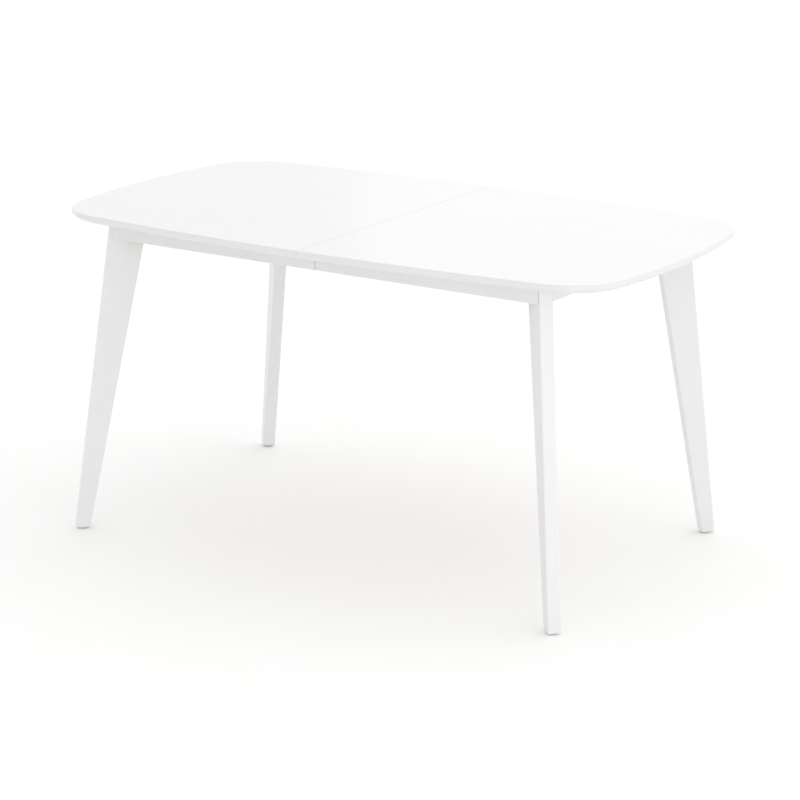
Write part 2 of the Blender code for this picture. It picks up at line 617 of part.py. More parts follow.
def build_centre():
    """Build the sliding centre, which carries the pinions and the folded leaf."""
    for depth_name in DEPTHS:
        build_middle_runner(depth_name)
        build_pinion(depth_name)
    for side_name in SIDES:
        build_cradle_bar(side_name)
        build_leaf_hinge(side_name)
    build_leaf_board("leaf_board_upper", LEAF_TOP, 1)
    build_leaf_board("leaf_board_lower", LEAF_BOTTOM, -1)


def main():
    """Build the whole table."""
    remove_start_objects()
    for side_name in SIDES:
        build_half(side_name)
    build_centre()
    build_dowels()
    for depth_name in DEPTHS:
        build_lock(depth_name)


main()
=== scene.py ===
"""Looks of an extendable dining table: lacquered board, planed beech, plated fittings and moulded nylon.

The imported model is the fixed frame. Each sub-assembly is a class that builds its own pieces around it.
"""

from __future__ import annotations

import logging
from collections.abc import Iterable, Sequence
from dataclasses import dataclass
from enum import Enum
from math import acos, asin, atan2, copysign, cos, pi, radians, sin, sqrt

import bmesh
import bpy
from mathutils import Matrix, Vector


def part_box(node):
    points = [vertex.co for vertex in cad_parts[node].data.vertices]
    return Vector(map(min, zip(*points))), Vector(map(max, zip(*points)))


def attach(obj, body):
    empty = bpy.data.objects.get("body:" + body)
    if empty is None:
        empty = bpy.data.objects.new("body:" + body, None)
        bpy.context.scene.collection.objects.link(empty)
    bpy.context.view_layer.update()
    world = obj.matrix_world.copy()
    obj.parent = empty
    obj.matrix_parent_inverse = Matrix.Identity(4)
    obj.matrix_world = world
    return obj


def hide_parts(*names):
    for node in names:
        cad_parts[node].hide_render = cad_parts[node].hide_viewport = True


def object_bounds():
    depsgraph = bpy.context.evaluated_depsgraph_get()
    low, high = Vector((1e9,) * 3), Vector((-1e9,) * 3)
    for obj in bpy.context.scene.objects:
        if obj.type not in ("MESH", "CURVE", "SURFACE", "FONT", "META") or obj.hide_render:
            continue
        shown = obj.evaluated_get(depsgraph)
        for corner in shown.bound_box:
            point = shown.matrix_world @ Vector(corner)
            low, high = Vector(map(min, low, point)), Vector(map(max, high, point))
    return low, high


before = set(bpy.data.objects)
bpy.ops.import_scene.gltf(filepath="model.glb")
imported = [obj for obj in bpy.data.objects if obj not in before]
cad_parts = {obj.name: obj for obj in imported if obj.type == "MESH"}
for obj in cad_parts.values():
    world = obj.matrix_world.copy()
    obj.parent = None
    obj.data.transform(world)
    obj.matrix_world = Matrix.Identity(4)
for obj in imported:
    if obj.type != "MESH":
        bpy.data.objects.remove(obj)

logging.basicConfig(level=logging.INFO, format="%(message)s")
log = logging.getLogger("dining_table")

MM = 0.001
CAD_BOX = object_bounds()
UP = Vector((0, 0, 1))
DOWN = Vector((0, 0, -1))
LENGTHWAYS = Vector((1, 0, 0))

# Shading and edge dressing of every piece.
CREASE_DEGREES = 32.0
EDGE_DEGREES = 35.0
FLAT_DEGREES = 1.0
WELD_DISTANCE = 0.01 * MM

# Heights above a glide's sole, and drops below its upper face, each with its inset from the full radius.
GLIDE_LIP_MM = ((0.0, 1.4), (0.15, 0.7), (0.6, 0.15), (1.2, 0.0))
GLIDE_RIM_MM = ((0.5, 0.0), (0.1, 0.25), (0.0, 0.7))

# Widths of the broken edges on the frame nodes that are dressed.
RAIL_EASE = 1.2 * MM
RUNNER_EASE = 0.8 * MM
BAR_EASE = 1.5 * MM
TOOTH_EASE = 0.15 * MM
PRESSED_EASE = 0.35 * MM

# Dowel holes and their countersunk mouths.
DOWEL_HOLE_RADIUS = 4.5 * MM
DOWEL_MOUTH_RADIUS = 5.4 * MM
DOWEL_MOUTH_DEPTH = 0.9 * MM

Point = tuple[float, float]
Tree = bpy.types.NodeTree
Socket = bpy.types.NodeSocket
Shell = bmesh.types.BMesh
Ring = list[Vector]


class Half(Enum):
    """The two halves that draw apart."""

    LEFT = -1
    RIGHT = 1

    @property
    def word(self) -> str:
        """The half's name in node names."""
        return self.name.lower()

    @property
    def body(self) -> str:
        """The body that the half's pieces ride on."""
        return self.word + "_half"


class Depth(Enum):
    """The front and back of the table."""

    FRONT = -1
    BACK = 1

    @property
    def word(self) -> str:
        """The side's name in node names."""
        return self.name.lower()


class Grain(Enum):
    """The way the wood fibres run."""

    ALONG_X = (1.0, 0.0, 0.0)
    ALONG_Y = (0.0, 1.0, 0.0)
    ALONG_Z = (0.0, 0.0, 1.0)
    RISING_DIAGONAL = (1.0, 1.0, 0.0)
    FALLING_DIAGONAL = (1.0, -1.0, 0.0)


def linear_colour(srgb_hex: str) -> tuple[float, float, float, float]:
    """Turn an sRGB hex value into a linear colour.

    Args:
        srgb_hex: Six hex digits, without a hash.

    Returns:
        Linear red, green, blue and an alpha of 1.
    """
    channels = [int(srgb_hex[start:start + 2], 16) / 255 for start in (0, 2, 4)]
    linear = [c / 12.92 if c <= 0.04045 else ((c + 0.055) / 1.055) ** 2.4 for c in channels]
    return (linear[0], linear[1], linear[2], 1.0)


def add_node(tree: Tree, kind: str, settings: dict | None = None,
             links: dict | None = None) -> bpy.types.Node:
    """Add a shader node with its settings and incoming links.

    Args:
        tree: The material's or the world's node tree.
        kind: The node's type name, without its ShaderNode prefix.
        settings: Values by attribute name, or by input socket name or number.
        links: Output sockets by the input socket that each one feeds.

    Returns:
        The new node.
    """
    node = tree.nodes.new("ShaderNode" + kind)
    for key, value in (settings or {}).items():
        if isinstance(key, str) and hasattr(node, key):
            setattr(node, key, value)
        else:
            node.inputs[key].default_value = value
    for key, source in (links or {}).items():
        tree.links.new(source, node.inputs[key])
    return node


def new_material(name: str) -> tuple[bpy.types.Material, Tree, bpy.types.Node]:
    """Return a material with its node tree and its Principled shader."""
    material = bpy.data.materials.new(name)
    material.use_nodes = True
    return material, material.node_tree, material.node_tree.nodes["Principled BSDF"]


def along_grain(tree: Tree, grain: Grain, stretch: float) -> Socket:
    """Give coordinates in metres that are squeezed along the grain, so that patterns run with it.

    Args:
        tree: The material's node tree.
        grain: The way the fibres run.
        stretch: How many times longer a pattern is along the grain than across it.

    Returns:
        The coordinates' output socket.
    """
    place = add_node(tree, "TexCoord").outputs["Object"]
    turn = Vector(grain.value).to_track_quat("X", "Z").inverted().to_euler()
    turned = add_node(tree, "Mapping", {"vector_type": "POINT", "Rotation": turn}, {"Vector": place})
    scaled = add_node(tree, "Mapping", {"Scale": (1 / stretch, 1.0, 1.0)}, {"Vector": turned.outputs[0]})
    return scaled.outputs[0]


def noise(tree: Tree, place: Socket, patch_mm: float, detail: float) -> Socket:
    """Return soft noise from 0 to 1, with patches of about this width."""
    settings = {"Scale": 1 / (patch_mm * MM), "Detail": detail}
    return add_node(tree, "TexNoise", settings, {"Vector": place}).outputs["Fac"]


def two_tone(tree: Tree, pattern: Socket, colours: tuple[str, str],
             levels: tuple[float, float] = (0.0, 1.0)) -> Socket:
    """Return a blend of two sRGB hex colours, from the pattern's first level to its second."""
    ramp = add_node(tree, "ValToRGB", {}, {"Fac": pattern})
    for element, level, colour in zip(ramp.color_ramp.elements, levels, colours):
        element.position = level
        element.color = linear_colour(colour)
    return ramp.outputs["Color"]


def spread(tree: Tree, pattern: Socket, low: float, high: float) -> Socket:
    """Return a value that runs from low to high with a pattern."""
    return add_node(tree, "MapRange", {"To Min": low, "To Max": high}, {"Value": pattern}).outputs["Result"]


def relief(tree: Tree, height: Socket, depth_mm: float, **below: Socket) -> Socket:
    """Return a normal that follows a pattern's height, over any normal given."""
    settings = {"Strength": 1.0, "Distance": depth_mm * MM}
    return add_node(tree, "Bump", settings, {"Height": height, **below}).outputs["Normal"]


def wire(tree: Tree, shader: bpy.types.Node, inputs: dict) -> None:
    """Feed the shader's inputs, each from a socket or with a plain value."""
    for name, value in inputs.items():
        if isinstance(value, Socket):
            tree.links.new(value, shader.inputs[name])
        else:
            shader.inputs[name].default_value = value


@dataclass(frozen=True)
class SprayedLacquer:
    """Two-pack polyurethane lacquer, sprayed satin white.

    Its film levels almost flat. Broad shallow ripples of spray texture break the highlights up,
    and a coat over the pigment gives a soft sheen at low angles.
    """

    name: str
    colour: str
    shaded_colour: str
    roughness: float
    ripple_mm: float = 7.0
    cloud_mm: float = 160.0
    ripple_depth_mm: float = 0.010
    grain: Grain | None = None
    grain_depth_mm: float = 0.03
    pore_mm: float = 1.5
    pore_stretch: float = 40.0
    cloud_levels: tuple[float, float] = (0.32, 0.68)
    smoother: float = 0.03
    rougher: float = 0.05
    ior: float = 1.5
    coat: float = 0.2
    coat_roughness: float = 0.18

    def material(self) -> bpy.types.Material:
        """Build the material."""
        material, tree, shader = new_material(self.name)
        place = add_node(tree, "TexCoord").outputs["Object"]
        cloud = noise(tree, place, self.cloud_mm, 3.0)
        # Orange peel is about 2 mm from crest to crest, and is drawn coarser so that it shows.
        normal = relief(tree, noise(tree, place, self.ripple_mm, 1.5), self.ripple_depth_mm)
        if self.grain:
            # Pores of the timber telegraph through the film as fine lines.
            run = along_grain(tree, self.grain, self.pore_stretch)
            pores = noise(tree, run, self.pore_mm, 2.0)
            normal = relief(tree, pores, self.grain_depth_mm, Normal=normal)
        wire(tree, shader, {
            "Base Color": two_tone(tree, cloud, (self.shaded_colour, self.colour), self.cloud_levels),
            "Roughness": spread(tree, cloud, self.roughness - self.smoother, self.roughness + self.rougher),
            "Normal": normal,
            "IOR": self.ior,
            "Coat Weight": self.coat,
            "Coat Roughness": self.coat_roughness,
        })
        return material


@dataclass(frozen=True)
class PlanedBeech:
    """Steamed beech, planed and left bare: pinkish straw, with short dark ray flecks along the grain."""

    name: str
    grain: Grain
    light: str = "DDB88F"
    dark: str = "C3976B"
    fleck: str = "8A5C3A"
    band_mm: float = 9.0
    band_stretch: float = 14.0
    band_distortion: float = 0.4
    band_levels: tuple[float, float] = (0.45, 0.85)
    warp_mm: float = 60.0
    warp_share: float = 0.35
    fleck_mm: float = 0.9
    fleck_stretch: float = 5.0
    fleck_levels: tuple[float, float] = (0.60, 0.74)
    fleck_cover: float = 0.55
    smoothest: float = 0.48
    roughest: float = 0.66
    relief_mm: float = 0.06

    def material(self) -> bpy.types.Material:
        """Build the material."""
        material, tree, shader = new_material(self.name)
        run = along_grain(tree, self.grain, self.band_stretch)
        warp = noise(tree, run, self.warp_mm, 2.0)
        bands = add_node(tree, "TexNoise", {"Scale": 1 / (self.band_mm * MM), "Detail": 5.0,
                                            "Distortion": self.band_distortion},
                         {"Vector": run}).outputs["Fac"]
        mixed = add_node(tree, "Math", {"operation": "MULTIPLY_ADD", 1: self.warp_share},
                         {0: warp, 2: bands})
        wood = two_tone(tree, mixed.outputs[0], (self.dark, self.light), self.band_levels)
        # Rays are 0.1 mm thick and 2 to 4 mm long, and are drawn broader so that they show.
        rays = noise(tree, along_grain(tree, self.grain, self.fleck_stretch), self.fleck_mm, 1.0)
        start, end = self.fleck_levels
        mask = add_node(tree, "MapRange", {"From Min": start, "From Max": end, "To Max": self.fleck_cover},
                        {"Value": rays}).outputs["Result"]
        flecked = add_node(tree, "Mix", {"data_type": "RGBA"}, {0: mask})
        tree.links.new(wood, flecked.inputs[6])
        flecked.inputs[7].default_value = linear_colour(self.fleck)
        height = add_node(tree, "Math", {"operation": "SUBTRACT"}, {0: bands, 1: mask})
        wire(tree, shader, {
            "Base Color": flecked.outputs[2],
            "Roughness": spread(tree, bands, self.smoothest, self.roughest),
            "Normal": relief(tree, height.outputs[0], self.relief_mm),
        })
        return material


@dataclass(frozen=True)
class PlatedSteel:
    """Zinc on pressed steel: a cool grey with faint blue and straw clouds from the passivation."""

    name: str
    cool: str = "B9BEC6"
    warm: str = "CFCBBB"
    roughness: float = 0.30
    smoother: float = 0.08
    rougher: float = 0.12
    cloud_mm: float = 14.0
    grit_mm: float = 0.8
    relief_mm: float = 0.01

    def material(self) -> bpy.types.Material:
        """Build the material."""
        material, tree, shader = new_material(self.name)
        place = add_node(tree, "TexCoord").outputs["Object"]
        fine = noise(tree, place, self.grit_mm, 2.0)
        wire(tree, shader, {
            "Base Color": two_tone(tree, noise(tree, place, self.cloud_mm, 3.0), (self.cool, self.warm)),
            "Roughness": spread(tree, fine, self.roughness - self.smoother, self.roughness + self.rougher),
            "Normal": relief(tree, fine, self.relief_mm),
            "Metallic": 1.0,
        })
        return material


@dataclass(frozen=True)
class MouldedNylon:
    """Natural nylon, moulded: milky, a little waxy, with a fine spark-eroded texture from the mould."""

    name: str
    colour: str = "E3E0D4"
    deep: str = "D6D1C0"
    cloud_mm: float = 12.0
    grit_mm: float = 0.6
    relief_mm: float = 0.02
    smoothest: float = 0.40
    roughest: float = 0.55
    ior: float = 1.53
    glow: float = 0.15
    glow_reach_mm: tuple[float, float, float] = (1.0, 1.0, 0.8)

    def material(self) -> bpy.types.Material:
        """Build the material."""
        material, tree, shader = new_material(self.name)
        place = add_node(tree, "TexCoord").outputs["Object"]
        grit = noise(tree, place, self.grit_mm, 1.0)
        wire(tree, shader, {
            "Base Color": two_tone(tree, noise(tree, place, self.cloud_mm, 2.0), (self.deep, self.colour)),
            "Roughness": spread(tree, grit, self.smoothest, self.roughest),
            "Normal": relief(tree, grit, self.relief_mm),
            "IOR": self.ior,
            "Subsurface Weight": self.glow,
            "Subsurface Radius": [reach * MM for reach in self.glow_reach_mm],
        })
        return material


Finish = SprayedLacquer | PlanedBeech | PlatedSteel | MouldedNylon

# The top, legs and rails all wear one white lacquer, in three copies. The legs' and rails' lighter base
# colours are painted light: they brighten parts that the lamps light too little.
TOP_LACQUER = SprayedLacquer("satin_polyurethane_lacquer_on_board", "E6E6E7", "E4E4E5", 0.30)
LEG_LACQUER = SprayedLacquer("satin_polyurethane_lacquer_on_beech_upright", "EAEAEB", "E8E8E8", 0.36,
                             grain=Grain.ALONG_Z)
RAIL_LACQUER_X = SprayedLacquer("satin_polyurethane_lacquer_on_beech_rail_lengthways", "E8E8E8", "E6E6E6",
                                0.36, grain=Grain.ALONG_X)
RAIL_LACQUER_Y = SprayedLacquer("satin_polyurethane_lacquer_on_beech_rail_crossways", "E8E8E8", "E6E6E6",
                                0.36, grain=Grain.ALONG_Y)
BEECH_X = PlanedBeech("planed_beech_lengthways", Grain.ALONG_X)
BEECH_Y = PlanedBeech("planed_beech_crossways", Grain.ALONG_Y)
BEECH_RISING = PlanedBeech("planed_beech_rising_diagonal", Grain.RISING_DIAGONAL)
BEECH_FALLING = PlanedBeech("planed_beech_falling_diagonal", Grain.FALLING_DIAGONAL)
BRIGHT_ZINC = PlatedSteel("bright_zinc_plated_steel")
SCREW_ZINC = PlatedSteel("yellow_passivated_zinc_screw", "B9A676", "D2C18F", 0.34)
NATURAL_NYLON = MouldedNylon("natural_moulded_nylon")


class MaterialShelf:
    """Builds each finish once and hands it out."""

    def __init__(self) -> None:
        """Start with an empty shelf."""
        self.made: dict[str, bpy.types.Material] = {}

    def take(self, finish: Finish) -> bpy.types.Material:
        """Return the finish's material, built at its first use."""
        if finish.name not in self.made:
            self.made[finish.name] = finish.material()
        return self.made[finish.name]


SHELF = MaterialShelf()


def loft(rings: Sequence[Sequence[Vector]]) -> Shell:
    """Join rings of equal length into a closed skin with a flat cap at each end.

    Args:
        rings: Rings of points in order along the shape.

    Returns:
        The closed mesh.
    """
    builder = bmesh.new()
    loops = [[builder.verts.new(point) for point in ring] for ring in rings]
    count = len(rings[0])
    for lower, upper in zip(loops, loops[1:]):
        for index in range(count):
            following = (index + 1) % count
            builder.faces.new((lower[index], lower[following], upper[following], upper[index]))
    builder.faces.new(list(reversed(loops[0])))
    builder.faces.new(loops[-1])
    return builder


def arc(centre: Point, radius: float, start: float, end: float, steps: int) -> list[Point]:
    """Return points on an arc, both ends included."""
    angles = [start + (end - start) * step / steps for step in range(steps + 1)]
    return [(centre[0] + radius * cos(a), centre[1] + radius * sin(a)) for a in angles]


def rounded_rectangle(half_width: float, half_height: float, radius: float, steps: int = 6) -> list[Point]:
    """Return a rectangle's outline about the origin, with round corners."""
    points: list[Point] = []
    for quarter, (sign_x, sign_y) in enumerate(((1, 1), (-1, 1), (-1, -1), (1, -1))):
        centre = (sign_x * (half_width - radius), sign_y * (half_height - radius))
        start = quarter * pi / 2
        points += arc(centre, radius, start, start + pi / 2, steps)
    return points


def turned(profile: Sequence[Point], base: Vector, axis: Vector, sides: int = 32) -> Shell:
    """Turn a profile of (distance along the axis, radius) pairs about an axis.

    Args:
        profile: The outside of the shape from one end to the other.
        base: The point that distances are measured from.
        axis: The direction of the axis.
        sides: How many sides each ring has.

    Returns:
        The closed mesh.
    """
    unit = axis.normalized()
    turn = unit.to_track_quat("Z", "Y").to_matrix()
    angles = [2 * pi * side / sides for side in range(sides)]
    circle = [Vector((cos(a), sin(a), 0.0)) for a in angles]
    return loft([[base + unit * along + turn @ (point * radius) for point in circle]
                 for along, radius in profile])


def chamfered(end: float, radius: float, ease: float) -> list[Point]:
    """Return the profile of a rod from 0 to its end, with both ends chamfered."""
    return [(0, radius - ease), (ease, radius), (end - ease, radius), (end, radius - ease)]


def finished_mesh(builder: Shell, name: str) -> bpy.types.Mesh:
    """Turn a builder into a mesh and free it."""
    mesh = bpy.data.meshes.new(name)
    builder.to_mesh(mesh)
    builder.free()
    return mesh


def added(name: str, data: bpy.types.ID) -> bpy.types.Object:
    """Add an object with this data to the scene."""
    item = bpy.data.objects.new(name, data)
    bpy.context.scene.collection.objects.link(item)
    return item


def merged(meshes: Iterable[Shell]) -> Shell:
    """Gather several closed shells into one mesh and free them."""
    gathered = bmesh.new()
    for shell in meshes:
        bmesh.ops.recalc_face_normals(shell, faces=shell.faces)
        if shell.calc_volume(signed=True) < 0:
            bmesh.ops.reverse_faces(shell, faces=shell.faces)
        part = finished_mesh(shell, "shell")
        gathered.from_mesh(part)
        bpy.data.meshes.remove(part)
    return gathered


def new_piece(name: str, shells: Iterable[Shell], finish: Finish, body: str,
              replaced: Sequence[str] = (), crease_degrees: float = CREASE_DEGREES) -> bpy.types.Object:
    """Make a shaded piece, let it ride on its body and hide the frame nodes that it stands for.

    Args:
        name: The piece's name.
        shells: The closed meshes that it consists of.
        finish: The finish it is made in.
        body: The body it moves with.
        replaced: The frame nodes that it stands for.
        crease_degrees: The angle above which an edge stays sharp.

    Returns:
        The new object.
    """
    mesh = finished_mesh(merged(shells), name)
    mesh.materials.append(SHELF.take(finish))
    mesh.shade_smooth()
    mesh.set_sharp_from_angle(angle=radians(crease_degrees))
    piece = added(name, mesh)
    even_shading(piece)
    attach(piece, body)
    if replaced:
        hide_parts(*replaced)
    log.info("%s rides on %s with %d faces", name, body, len(mesh.polygons))
    return piece


def even_shading(piece: bpy.types.Object) -> None:
    """Let the broad faces set the shading, so that they look flat up to their rounded edges."""
    shade = piece.modifiers.new("even_shade", "WEIGHTED_NORMAL")
    shade.weight = 100
    shade.keep_sharp = True


def cut_holes(piece: bpy.types.Object, cutters: Iterable[Shell]) -> None:
    """Cut shapes out of a piece for good.

    Args:
        piece: The piece that is cut.
        cutters: Closed meshes of what is taken away.
    """
    piece.modifiers.clear()
    for cutter in cutters:
        tool = added("cutter", finished_mesh(merged([cutter]), "cutter"))
        step = piece.modifiers.new("cut", "BOOLEAN")
        step.operation = "DIFFERENCE"
        step.object = tool
        evaluated = piece.evaluated_get(bpy.context.evaluated_depsgraph_get())
        cut_mesh = bpy.data.meshes.new_from_object(evaluated)
        piece.modifiers.clear()
        piece.data = cut_mesh
        bpy.data.objects.remove(tool)
    piece.data.set_sharp_from_angle(angle=radians(CREASE_DEGREES))
    even_shading(piece)


def ease_edges(node: str, width: float, finish: Finish, segments: int = 2) -> None:
    """Break a frame node's sharp edges, as sandpaper or a press tool does, and give it its finish.

    Args:
        node: The frame node's name.
        width: The width of the broken edge, in metres.
        finish: The finish it is made in.
        segments: How many facets round each edge.
    """
    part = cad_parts[node]
    weld = part.modifiers.new("weld", "WELD")
    weld.merge_threshold = WELD_DISTANCE
    flat = part.modifiers.new("join_flats", "DECIMATE")
    flat.decimate_type = "DISSOLVE"
    flat.angle_limit = radians(FLAT_DEGREES)
    bevel = part.modifiers.new("eased_edges", "BEVEL")
    bevel.width = width
    bevel.segments = segments
    bevel.limit_method = "ANGLE"
    bevel.angle_limit = radians(EDGE_DEGREES)
    shade = part.modifiers.new("even_shade", "WEIGHTED_NORMAL")
    shade.keep_sharp = False
    part.data.materials.clear()
    part.data.materials.append(SHELF.take(finish))
    log.info("%s is dressed in %s", node, finish.name)


@dataclass
class ScrewHead:
    """A raised countersunk screw head with a cross recess."""

    radius: float = 3.6 * MM
    rise: float = 1.1 * MM
    rim: float = 0.35 * MM
    slot_half: float = 0.55 * MM
    slot_depth: float = 0.9 * MM
    lift: float = 0.02 * MM
    waist: float = 0.05 * MM
    overlap: float = 0.01 * MM
    step_in: float = 0.08 * MM
    dome_angle: float = 0.62
    dome_levels: tuple[float, ...] = (0.0, 0.35, 0.7, 1.0)
    arc_steps: int = 6

    def shells(self, at: Vector, out: Vector) -> list[Shell]:
        """Return the head's domed rim in four quarters, which leave the cross between them.

        Args:
            at: The point where the head sits on its face.
            out: The direction out of that face.

        Returns:
            Closed meshes: a low disc and four raised quarters.
        """
        unit = out.normalized()
        turn = unit.to_track_quat("Z", "Y").to_matrix()
        floor = self.rise - self.slot_depth
        disc = turned([(self.lift, self.radius - self.rim), (self.lift + floor * 0.5, self.radius),
                       (floor, self.radius - self.waist)], at, unit, sides=24)
        shells = [disc]
        for quarter in range(4):
            middle = pi / 4 + quarter * pi / 2
            corner = Vector((cos(middle), sin(middle), 0)) * (self.slot_half * 1.5)
            rings = []
            for share in self.dome_levels:
                height = floor - self.overlap + (self.rise - floor) * share
                reach = self.radius * cos(share * self.dome_angle) - self.step_in
                span = pi / 4 - asin(self.slot_half / reach)
                ring = [corner]
                ring += [Vector((*point, 0)) for point in
                         arc((0, 0), reach, middle - span, middle + span, self.arc_steps)]
                rings.append([at + unit * height + turn @ point for point in ring])
            shells.append(loft(rings))
        return shells


PLATE_SCREW = ScrewHead(2.6 * MM, 0.9 * MM, 0.25 * MM, 0.4 * MM, 0.7 * MM)
LOCK_SCREW = ScrewHead(1.9 * MM, 0.45 * MM, 0.2 * MM, 0.3 * MM, 0.3 * MM)


def screws(name: str, places: Iterable[tuple[Vector, Vector]], body: str,
           head: ScrewHead = ScrewHead()) -> bpy.types.Object:
    """Make the screws that hold one part, as one piece.

    Args:
        name: The piece's name.
        places: Where each head sits, and the direction it faces.
        body: The body that the screws ride on.
        head: The kind of head.

    Returns:
        The piece.
    """
    shells = [shell for at, out in places for shell in head.shells(at, out)]
    return new_piece(name, shells, SCREW_ZINC, body)


@dataclass
class TableTop:
    """One half of the bowed top: an eased upper arris, an upright band and an undercut below it."""

    half: Half
    side_arc: float = 5.4
    end_arc: float = 1.75
    corner_arc: float = 0.14
    arris: float = 1.5 * MM
    upright: float = 9.0 * MM
    undercut: float = 9.0 * MM
    seam_gap: float = 0.8 * MM
    seam_ease: float = 0.9 * MM
    arris_steps: int = 4
    below_arris: float = 1.0 * MM
    blend: float = 0.8 * MM
    under_ease: float = 0.4 * MM
    under_rise: float = 0.25 * MM
    under_seam: float = 0.1 * MM
    arc_steps: tuple[int, int, int] = (20, 30, 18)
    dowel_ys: tuple[float, ...] = (-0.30, 0.0, 0.30)
    glued_hole: float = 0.0186
    loose_hole: float = 0.0135

    def quarter(self, inset: float, seam: float) -> list[Point]:
        """Return the outline from the back of the seam to the middle of the end.

        Args:
            inset: How far inside the full outline it runs.
            seam: How far from the middle of the table the seam's edge lies.

        Returns:
            Points on three arcs that touch each other.
        """
        low, high = CAD_BOX
        half_length = (high.x - low.x) / 2
        half_width = (high.y - low.y) / 2
        side_centre = Vector((0.0, half_width - self.side_arc))
        end_centre = Vector((half_length - self.end_arc, 0.0))
        to_side = self.side_arc - self.corner_arc
        to_end = self.end_arc - self.corner_arc
        between = end_centre - side_centre
        along = (to_side ** 2 - to_end ** 2 + between.length_squared) / (2 * between.length)
        across = sqrt(to_side ** 2 - along ** 2)
        unit = between.normalized()
        corner_centre = side_centre + unit * along + Vector((unit.y, -unit.x)) * across
        side_touch = corner_centre - side_centre
        end_touch = corner_centre - end_centre
        side_angle = atan2(side_touch.y, side_touch.x)
        end_angle = atan2(end_touch.y, end_touch.x)
        start = acos(seam / (self.side_arc - inset))
        on_side, on_corner, on_end = self.arc_steps
        points = arc(tuple(side_centre), self.side_arc - inset, start, side_angle, on_side)
        points += arc(tuple(corner_centre), self.corner_arc - inset, side_angle, end_angle, on_corner)[1:]
        points += arc(tuple(end_centre), self.end_arc - inset, end_angle, 0.0, on_end)[1:]
        return points

    def ring(self, height: float, inset: float, seam_inset: float) -> Ring:
        """Return one level of the top's edge as a closed ring."""
        back = self.quarter(inset, self.seam_gap / 2 + seam_inset)
        front = [(x, -y) for x, y in reversed(back[:-1])]
        return [Vector((self.half.value * x, y, height)) for x, y in back + front]

    def levels(self) -> list[tuple[float, float, float]]:
        """Return the height, inset and seam inset of each level, from the underside up."""
        low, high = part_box("tabletop_" + self.half.word)
        chamfer_top = high.z - self.arris - self.upright
        made = [(low.z, self.undercut + self.under_ease, self.under_ease),
                (low.z + self.under_rise, self.undercut, self.under_seam)]
        for share in (0.25, 0.5, 0.75):
            made.append((low.z + (chamfer_top - low.z) * share, self.undercut * (1 - share), 0.0))
        # Three levels turn the undercut into the upright band.
        made += [(chamfer_top - self.blend, self.blend * 1.2, 0.0), (chamfer_top, self.blend * 0.35, 0.0),
                 (chamfer_top + self.blend, 0.0, 0.0)]
        made.append((high.z - self.arris - self.below_arris, 0.0, 0.0))
        for step in range(self.arris_steps + 1):
            angle = pi / 2 * step / self.arris_steps
            inwards = 1 - cos(angle)
            made.append((high.z - self.arris * (1 - sin(angle)), self.arris * inwards,
                         self.seam_ease * inwards))
        return made

    def build(self) -> None:
        """Build the half top with its dowel holes."""
        node = "tabletop_" + self.half.word
        rings = [self.ring(*level) for level in self.levels()]
        piece = new_piece("top_board_" + self.half.word, [loft(rings)], TOP_LACQUER, self.half.body,
                          [node])
        low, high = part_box(node)
        middle = (low.z + high.z) / 2
        out = Vector((-self.half.value, 0.0, 0.0))
        deep = self.glued_hole if self.half is Half.LEFT else self.loose_hole
        profile = [(-deep, DOWEL_HOLE_RADIUS), (-DOWEL_MOUTH_DEPTH, DOWEL_HOLE_RADIUS),
                   (self.under_ease, DOWEL_MOUTH_RADIUS)]
        cutters = [turned(profile, Vector((0.0, y, middle)), out, 24) for y in self.dowel_ys]
        cut_holes(piece, cutters)


@dataclass
class Dowels:
    """Fluted beech dowels in the seam edge of the left half."""

    radius: float = 4.0 * MM
    flute: float = 0.25 * MM
    flutes: int = 12
    sides_per_flute: int = 4
    chamfer: float = 1.2 * MM
    tip_shrink: float = 0.8 * MM

    def shell(self, start: Vector, end: Vector) -> Shell:
        """Return one fluted dowel with chamfered ends, between two points on its axis."""
        unit = (end - start).normalized()
        turn = unit.to_track_quat("Z", "Y").to_matrix()
        length = (end - start).length
        sides = self.flutes * self.sides_per_flute
        rings = []
        for along, shrink in ((0.0, self.tip_shrink), (self.chamfer, 0.0), (length - self.chamfer, 0.0),
                              (length, self.tip_shrink)):
            ring = []
            for side in range(sides):
                angle = 2 * pi * side / sides
                dip = self.flute * (1 + cos(self.flutes * angle)) / 2
                radius = self.radius - dip - shrink
                point = Vector((cos(angle), sin(angle), 0)) * radius
                ring.append(start + unit * along + turn @ point)
            rings.append(ring)
        return loft(rings)

    def build(self) -> None:
        """Build the three dowels."""
        for number in (1, 2, 3):
            low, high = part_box(f"dowel_{number}")
            middle = (low + high) / 2
            shell = self.shell(Vector((low.x, middle.y, middle.z)), Vector((high.x, middle.y, middle.z)))
            new_piece(f"fluted_dowel_{number}", [shell], BEECH_X, "left_half", [f"dowel_{number}"])


